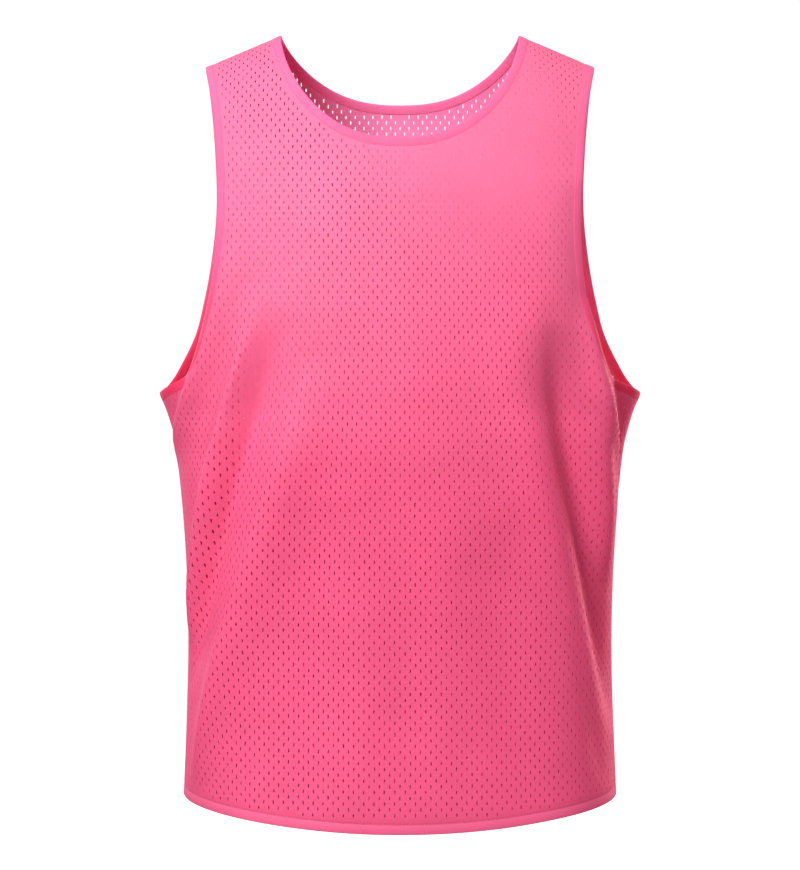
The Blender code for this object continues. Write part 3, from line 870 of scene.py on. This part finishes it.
def uv_map(piece, name, across, upward):
    """A UV map from values at the pattern's points, the same for both faces of the shell."""
    layer = piece.data.uv_layers.new(name=name)
    vertex = np.empty(len(piece.data.loops), dtype=np.int32)
    piece.data.loops.foreach_get("vertex_index", vertex)
    places = columns(across, upward)[vertex % len(across)]
    layer.data.foreach_set("uv", places.astype(np.float32).ravel())


def make_panel(panel):
    cut, faces, outline = cut_panel(panel)
    if panel == "back":
        faces = faces[:, ::-1]
    along, up = cut.T
    outer = on_form(panel, along, up, lift=-seam_sink(panel, along, up))
    normals = surface_normals(outer, faces)
    count = len(cut)
    rims = open_edges(faces, count)
    walls = columns(rims[:, 1], rims[:, 0], rims[:, 0] + count, rims[:, 1] + count)
    points = np.concatenate([outer, outer - normals * CLOTH_THICKNESS])
    shell_faces = faces.tolist() + (faces[:, ::-1] + count).tolist() + walls.tolist()
    piece = make_piece(panel + "_cloth", points, shell_faces, SHARP_HOLE_EDGE)
    uv_map(piece, "knit", along / np.interp(up, PITCH_HEIGHTS, PITCHES), up / ROW_STEP)
    uv_map(piece, "hem", along, (up - hem_line(panel, along)) / HEM_STITCH)
    print(f"{piece.name}: {2 * len(faces) + 2 * len(walls)} triangles")
    x, y = outline.T
    area = abs(np.dot(x, np.roll(y, -1)) - np.dot(y, np.roll(x, -1))) / 2
    size = np.ptp(outline, axis=0)
    return piece, area, size


front_cloth, front_area, front_size = make_panel("front")
back_cloth, back_area, back_size = make_panel("back")
print(f"flat: front {front_size.round(3)} m, {front_area:.3f} m2; "
      f"back {back_size.round(3)} m, {back_area:.3f} m2")

# %% [markdown]
# ## Bindings
#
# The neck and armholes are bound: a strip of plain knitted tape, folded in half over the raw
# edge and stitched through. Its section is a narrow U with a rounded fold. Sweeping that
# section along the edge lines gives one closed ring. The tape is a little slack between
# stitches, so its faces ripple very slightly.

# %% Sweep the binding tapes
# Distance from the edge and height over the cloth's outer face, round the tape's section
TAPE_SECTION = np.array([
    (8.0, -0.14), (7.9, 0.06), (7.4, 0.20), (6.7, 0.10), (6.0, 0.24), (4.8, 0.33), (3.2, 0.38),
    (1.6, 0.34), (0.6, 0.14), (0.12, -0.18), (0.0, -0.50), (0.12, -0.82), (0.6, -1.14),
    (1.6, -1.34), (3.2, -1.38), (4.8, -1.33), (6.0, -1.24), (6.7, -1.10), (7.4, -1.20),
    (7.9, -1.06), (8.0, -0.86),
]) * MM
TAPE_RIPPLE = 0.07 * MM
LEAST_LIFT = 0.1 * MM
CLOTH_MIDDLE = -0.5 * MM
WAVES, FEWEST_CRESTS, MOST_CRESTS = 9, 20, 60
SHARP_SWEEP = 70
# For each opening: its line on the pattern, and the panel, side and order of each part
OPENINGS = {
    "neck": (neck_line, (("front", 1, 1), ("front", -1, -1), ("back", -1, 1), ("back", 1, -1))),
    "armhole_left": (armhole_line, (("front", 1, 1), ("back", 1, -1))),
    "armhole_right": (armhole_line, (("front", -1, 1), ("back", -1, -1))),
}


def ring(opening, inset, lift):
    """A closed line round an opening, set in from its edge and lifted off the cloth."""
    line_of, parts = OPENINGS[opening]
    found = []
    for panel, side, order in parts:
        line = line_of(panel, inset)
        found.append(on_form(panel, side * line[:, 0], line[:, 1], lift)[::order][:-1])
    return np.concatenate(found)


def ripple(count, seed):
    """A smooth uneven wave round a ring, between about -1 and 1."""
    rng = np.random.default_rng(seed)
    turn = np.linspace(0, 2 * math.pi, count, endpoint=False)
    waves = [rng.normal() * np.sin(k * turn + rng.uniform(0, 2 * math.pi))
             for k in rng.integers(FEWEST_CRESTS, MOST_CRESTS, WAVES)]
    return np.sum(waves, axis=0) / math.sqrt(WAVES)


def swept(name, rings, closed=True):
    """A tube through rings of equal length, one for each point of the section."""
    rows, count = len(rings), len(rings[0])
    points = np.concatenate(rings)
    i, j = np.meshgrid(np.arange(rows), np.arange(count if closed else count - 1), indexing="ij")
    near, far = i * count, (i + 1) % rows * count
    faces = np.stack([near + j, near + (j + 1) % count, far + (j + 1) % count, far + j],
                     axis=2).reshape(-1, 4)
    corners = points[faces]
    volume = sum((corners[:, 0] * np.cross(corners[:, k], corners[:, k + 1])).sum() for k in (1, 2))
    faces = faces.tolist()
    if not closed:
        start = np.arange(rows) * count
        faces += [start[::-1].tolist(), (start + count - 1).tolist()]
    if volume < 0:
        faces = [face[::-1] for face in faces]
    return make_piece(name, points, faces, SHARP_SWEEP)


def tape(name, opening, seed):
    wave = ripple(len(ring(opening, 0.0, 0.0)), seed) * TAPE_RIPPLE
    rings = []
    for inset, lift in TAPE_SECTION:
        line = ring(opening, inset, lift)
        away = line - ring(opening, inset, CLOTH_MIDDLE)
        length = np.linalg.norm(away, axis=1, keepdims=True)
        share = math.sin(math.pi * min(inset / TAPE_WIDTH, 1.0))
        rings.append(line + away / np.maximum(length, LEAST_LIFT) * (share * wave)[:, None])
    return swept(name, rings)


neck_tape = tape("neck_tape", "neck", 21)
armhole_tape_left = tape("armhole_tape_left", "armhole_left", 22)
armhole_tape_right = tape("armhole_tape_right", "armhole_right", 23)
tapes = [neck_tape, armhole_tape_left, armhole_tape_right]
for piece in tapes:
    print(piece.name, len(piece.data.polygons), "faces")

# %% [markdown]
# ## Seams
#
# The side and shoulder seams are overlocked: both edges are trimmed, pressed to the back and
# covered with thread. That leaves a low ridge on the inside, seen through the neck and
# armholes. It is swept from a small flat section along each seam.

# %% Sweep the seam ridges inside
# Distance from the seam into the back panel, and height over the cloth's outer face
SEAM_SECTION = np.array([
    (0.2, -0.60), (2.4, -0.55), (4.9, -0.60), (5.4, -0.95), (4.9, -1.30), (2.6, -1.50),
    (0.4, -1.40), (-0.2, -1.00),
]) * MM
SEAM_STEP = 6 * MM
# How far the ridges stop above the hem's fold, and how far they run in under the tapes
SIDE_LAP, SHOULDER_LAP = 1 * MM, 1.5 * MM
SHOULDER_POINTS = 12


def seam_ridge(name, line, into_back, side):
    """The section swept along a line of the back's pattern."""
    rings = []
    for inward, lift in SEAM_SECTION:
        along, up = (line - inward * np.array(into_back)).T
        rings.append(on_form("back", side * along, up, lift))
    return swept(name, rings, closed=False)


low = hem_line("back", [side_length("back", HEM_HEIGHT)])[0] + SIDE_LAP
levels = np.arange(low, UNDERARM_HEIGHT - TAPE_WIDTH + SIDE_LAP, SEAM_STEP)
side_line = columns(side_length("back", levels), levels)
shoulder_line = on_ridge("back", np.linspace(NECK_HALF_WIDTH + TAPE_WIDTH - SHOULDER_LAP,
                                             SHOULDER_HALF_WIDTH - TAPE_WIDTH + SHOULDER_LAP,
                                             SHOULDER_POINTS))
seams = [
    seam_ridge(f"{place}_seam_{name}", line, into_back, side)
    for place, line, into_back in (("side", side_line, (1, 0)), ("shoulder", shoulder_line, (0, 1)))
    for name, side in (("left", 1), ("right", -1))
]
print("seams:", ", ".join(seam.name for seam in seams))

# %% [markdown]
# ## Stitches
#
# Thread is what tells sewn cloth from moulded cloth. Each stitch is a tiny spindle that dips
# into the tape at both ends. Copies are laid end to end along a line, on the outer and the
# inner face, and joined into one piece for each line of sewing.

# %% Sew the bindings and the hem
STITCH_LENGTH = 2.5 * MM
STITCH_GAP = 0.6 * MM
THREAD_RADIUS = 0.17 * MM
TAPE_STITCH = 6.7 * MM
TAPE_TOP, TAPE_BACK = 0.10 * MM, -1.10 * MM
# Along the stitch: where its four rings lie, and how high they ride, in thread radii
STITCH_SHARES = np.array([-0.5, -0.3, 0.3, 0.5])
STITCH_RISE = np.array([-1.0, 0.2, 0.2, -1.0])
STITCH_FACES = [(0, 2, 1), (0, 3, 2), (0, 4, 3), (0, 1, 4), (9, 5, 6), (9, 6, 7), (9, 7, 8),
                (9, 8, 5), (1, 2, 6, 5), (2, 3, 7, 6), (3, 4, 8, 7), (4, 1, 5, 8)]


def sewn_line(path, away):
    """Ten points for each spindle along a path. away points off the cloth."""
    run = length_along(path)
    count = int(run[-1] / (STITCH_LENGTH + STITCH_GAP))
    starts = (np.arange(count) + 0.5) * run[-1] / count
    at = starts[:, None] + STITCH_SHARES * STITCH_LENGTH
    middle = np.stack([np.interp(at, run, path[:, k]) for k in range(3)], axis=2)
    normal = unit(columns(*(np.interp(starts, run, away[:, k]) for k in range(3))))
    across = unit(np.cross(middle[:, 3] - middle[:, 0], normal))
    middle = middle + (THREAD_RADIUS * STITCH_RISE)[:, None] * normal[:, None]
    points = [middle[:, 0]]
    for k in (1, 2):
        for a, b in ((1, 0), (0, 1), (-1, 0), (0, -1)):
            points.append(middle[:, k] + THREAD_RADIUS * (a * across + b * normal))
    return columns(*points, middle[:, 3])


def sew(name, outer, inner):
    """Stitches along a line on the cloth's outer face and one on its inner face."""
    points = np.concatenate([sewn_line(outer, outer - inner), sewn_line(inner, inner - outer)])
    faces = [tuple(10 * s + k for k in face) for s in range(len(points)) for face in STITCH_FACES]
    print(f"{name}: {len(points)} stitches")
    return make_piece(name, points.reshape(-1, 3), faces)


def sew_tape(name, opening):
    """Stitches all the way round, so each line ends where it starts."""
    lines = (ring(opening, TAPE_STITCH, lift) for lift in (TAPE_TOP, TAPE_BACK))
    return sew(name, *(np.vstack([line, line[:1]]) for line in lines))


def sew_hem(name, panel):
    half = hem_row(panel, HEM_STITCH)[:-1]
    along = np.concatenate([-half[1:, 0][::-1], half[:, 0]])
    level = hem_line(panel, along) + HEM_STITCH
    return sew(name, *(on_form(panel, along, level, lift)
                       for lift in (-STITCH_SINK, -2 * HEM_RADIUS - CLOTH_THICKNESS)))


neck_stitches = sew_tape("neck_stitches", "neck")
left_stitches = sew_tape("armhole_stitches_left", "armhole_left")
right_stitches = sew_tape("armhole_stitches_right", "armhole_right")
front_hem = sew_hem("front_hem_stitches", "front")
back_hem = sew_hem("back_hem_stitches", "back")
stitches = [neck_stitches, left_stitches, right_stitches, front_hem, back_hem]

# %% [markdown]
# ## Finishes
#
# The mesh is dyed polyester: a strong pink, matt, with the soft pale bloom that fine filaments
# give at a slant, which is what the sheen of the shader is for. Light and shade are also painted
# into the colour: the cloth is painted paler up over the chest, as light from above makes it,
# deeper towards the hem, and palest inside the back of the neck, where light comes in from
# above. The turned-up hem is double cloth, painted paler for the light its second layer sends
# back, with painted shade along the groove of its stitches. The bindings are painted paler up
# top and palest at the back of the neck in the same way, and dark crimson low in the armholes,
# for the shade there. Small grain and a fine rib that follows the knit map break up the surface,
# and slow noise keeps the dye from looking printed. A small class keeps the calls for the nodes
# short.

# %% Helpers for cloth materials
NOISE_LOW, NOISE_HIGH = 0.3, 0.7
CLOTH_GLOSS = 0.42
# Where the painted light inside the back of the neck lies, in Y and in Z
NAPE_LIGHT_Y, NAPE_LIGHT_Z = (0.0, 0.03), (-0.15, -0.08)


class Finish:
    """A node material under construction, with short calls for the nodes that cloth needs."""

    def __init__(self, name):
        self.material = bpy.data.materials.new(name)
        self.material.use_nodes = True
        self.nodes = self.material.node_tree.nodes
        self.place = self.add("TexCoord", {}).outputs["Object"]

    def feed(self, socket, value):
        """Links an output to a socket, or sets the socket to a value."""
        if isinstance(value, bpy.types.NodeSocket):
            self.material.node_tree.links.new(value, socket)
        else:
            socket.default_value = value

    def add(self, kind, inputs, **settings):
        """A new node with its own settings, and with its inputs fed."""
        node = self.nodes.new("ShaderNode" + kind)
        for key, value in settings.items():
            setattr(node, key, value)
        for key, value in inputs.items():
            self.feed(node.inputs[key], value)
        return node

    def part(self, vector, axis):
        return self.add("SeparateXYZ", {"Vector": vector}).outputs[axis]

    def uv(self, name):
        return self.add("UVMap", {}, uv_map=name).outputs["UV"]

    def noise(self, scale, detail=2.0):
        values = {"Vector": self.place, "Scale": scale, "Detail": detail, "Roughness": 0.5}
        return self.add("TexNoise", values).outputs["Fac"]

    def fit(self, value, low, high, to_low=0.0, to_high=1.0):
        return self.add("MapRange", {"Value": value, "From Min": low, "From Max": high,
                                     "To Min": to_low, "To Max": to_high}).outputs["Result"]

    def uneven(self, scale, low, high, detail=2.0):
        """Noise that wanders between two values."""
        return self.fit(self.noise(scale, detail), NOISE_LOW, NOISE_HIGH, low, high)

    def blend(self, factor, first, second, kind="MIX"):
        return self.add("Mix", {0: factor, 6: first, 7: second}, data_type="RGBA",
                        blend_type=kind).outputs[2]

    def maths(self, kind, first, second):
        return self.add("Math", {0: first, 1: second}, operation=kind).outputs[0]

    def painted_light_at_nape(self, colour, shade):
        """Painted light: a paler colour laid over the inside of the neck at the back, where light
        comes in from above.
        """
        share = self.maths("MULTIPLY", self.fit(self.part(self.place, "Y"), *NAPE_LIGHT_Y),
                           self.fit(self.part(self.place, "Z"), *NAPE_LIGHT_Z))
        return self.blend(share, colour, shade)

    def complete(self, colour, rough, relief, strength, depth, sheen, spread, tint):
        """Colour, roughness and bump joined to the shader, and the bloom of cloth set on it."""
        bump = self.add("Bump", {"Height": relief, "Strength": strength, "Distance": depth})
        shader = self.nodes["Principled BSDF"]
        for name, value in (("Base Color", colour), ("Roughness", rough),
                            ("Normal", bump.outputs["Normal"]), ("Sheen Weight", sheen),
                            ("Sheen Roughness", spread), ("Sheen Tint", tint),
                            ("Specular IOR Level", CLOTH_GLOSS)):
            self.feed(shader.inputs[name], value)
        return self.material


print("cloth gloss", CLOTH_GLOSS)

# %% Mix the pinks of mesh, tape and thread
def mesh_finish():
    finish = Finish("mesh_cloth_pink")
    # Painted light: paler over the chest and deeper towards the hem, as light from above makes it
    height = finish.maths("ADD", finish.part(finish.place, "Z"), finish.uneven(5.0, -0.05, 0.05))
    colour = finish.blend(finish.fit(height, -0.40, -0.12),
                          (0.96, 0.106, 0.262, 1.0), (0.96, 0.178, 0.352, 1.0))
    # Painted light: palest inside the back of the neck, where light comes in from above
    colour = finish.painted_light_at_nape(colour, (0.97, 0.300, 0.590, 1.0))
    # Painted light: the double cloth of the hem band is paler, for the light its second layer sends
    # back
    above = finish.part(finish.uv("hem"), "Y")
    colour = finish.blend(finish.fit(above, 0.90, 0.98, 0.55, 0.0), colour,
                          (0.98, 0.170, 0.350, 1.0))
    # Painted shade darkens the groove along the hem's stitches; the two noises after it are random
    # tone and grain
    to_stitch = finish.maths("ABSOLUTE", finish.maths("SUBTRACT", above, 1.02), 0.0)
    for shade in (finish.fit(to_stitch, 0.03, 0.13, 0.80, 1.0),
                  finish.uneven(14.0, 0.94, 1.04, detail=4.0),
                  finish.uneven(1400.0, 0.96, 1.05, detail=1.0)):
        colour = finish.blend(1.0, colour, shade, "MULTIPLY")
    ribs = finish.add("TexWave", {"Vector": finish.uv("knit"), "Scale": 2.2, "Distortion": 0.6,
                                  "Detail": 1.0}).outputs["Fac"]
    relief = finish.maths("ADD", ribs, finish.noise(1100.0))
    return finish.complete(colour, finish.uneven(300.0, 0.58, 0.72), relief, 0.25, 0.15 * MM,
                           0.10, 0.45, (1.0, 0.62, 0.76, 1.0))


def tape_finish():
    finish = Finish("binding_tape_pink")
    height = finish.part(finish.place, "Z")
    # Painted light: the tape is paler higher up, as light from above makes it
    colour = finish.blend(finish.fit(height, -0.34, -0.05),
                          (0.95, 0.095, 0.252, 1.0), (0.96, 0.165, 0.365, 1.0))
    # Painted shade: the tape turns dark crimson low in the armholes, where it lies in shade
    colour = finish.blend(finish.fit(height, -0.29, -0.21, 1.0, 0.0), colour,
                          (0.95, 0.048, 0.150, 1.0))
    # Painted light: palest inside the back of the neck, where light comes in from above
    colour = finish.painted_light_at_nape(colour, (0.98, 0.230, 0.500, 1.0))
    colour = finish.blend(1.0, colour, finish.uneven(30.0, 0.95, 1.04, detail=3.0), "MULTIPLY")
    relief = finish.maths("ADD", finish.noise(1600.0), finish.noise(500.0, detail=3.0))
    return finish.complete(colour, finish.uneven(400.0, 0.66, 0.84), relief, 0.22, 0.12 * MM,
                           0.12, 0.40, (1.0, 0.65, 0.78, 1.0))


def thread_finish():
    finish = Finish("sewing_thread_pink")
    colour = finish.blend(finish.uneven(700.0, 0.0, 1.0), (0.86, 0.070, 0.180, 1.0),
                          (0.98, 0.150, 0.310, 1.0))
    return finish.complete(colour, finish.uneven(900.0, 0.45, 0.60), finish.noise(2600.0),
                           0.2, 0.05 * MM, 0.20, 0.40, (1.0, 0.85, 0.90, 1.0))


mesh_pink, tape_pink, thread_pink = mesh_finish(), tape_finish(), thread_finish()
panels = [front_cloth, back_cloth]
for group, material in ((panels + seams, mesh_pink), (tapes, tape_pink), (stitches, thread_pink)):
    for piece in group:
        piece.data.materials.append(material)
print("finishes:", mesh_pink.name, tape_pink.name, thread_pink.name)

# %% [markdown]
# ## Hand over to the solids
#
# Every piece rides on the one body. The cloth and the tapes stand for the solids, which stay
# behind for contact.

# %% Ride and replace
for piece in panels + tapes + seams + stitches:
    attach(piece, "root")
for piece, node, name in (
    (front_cloth, "front_panel", "mesh_cloth"),
    (back_cloth, "back_panel", "mesh_cloth"),
    (neck_tape, "neck_binding", "binding_tape"),
    (armhole_tape_left, "armhole_binding_left", "binding_tape"),
    (armhole_tape_right, "armhole_binding_right", "binding_tape"),
):
    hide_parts(node)
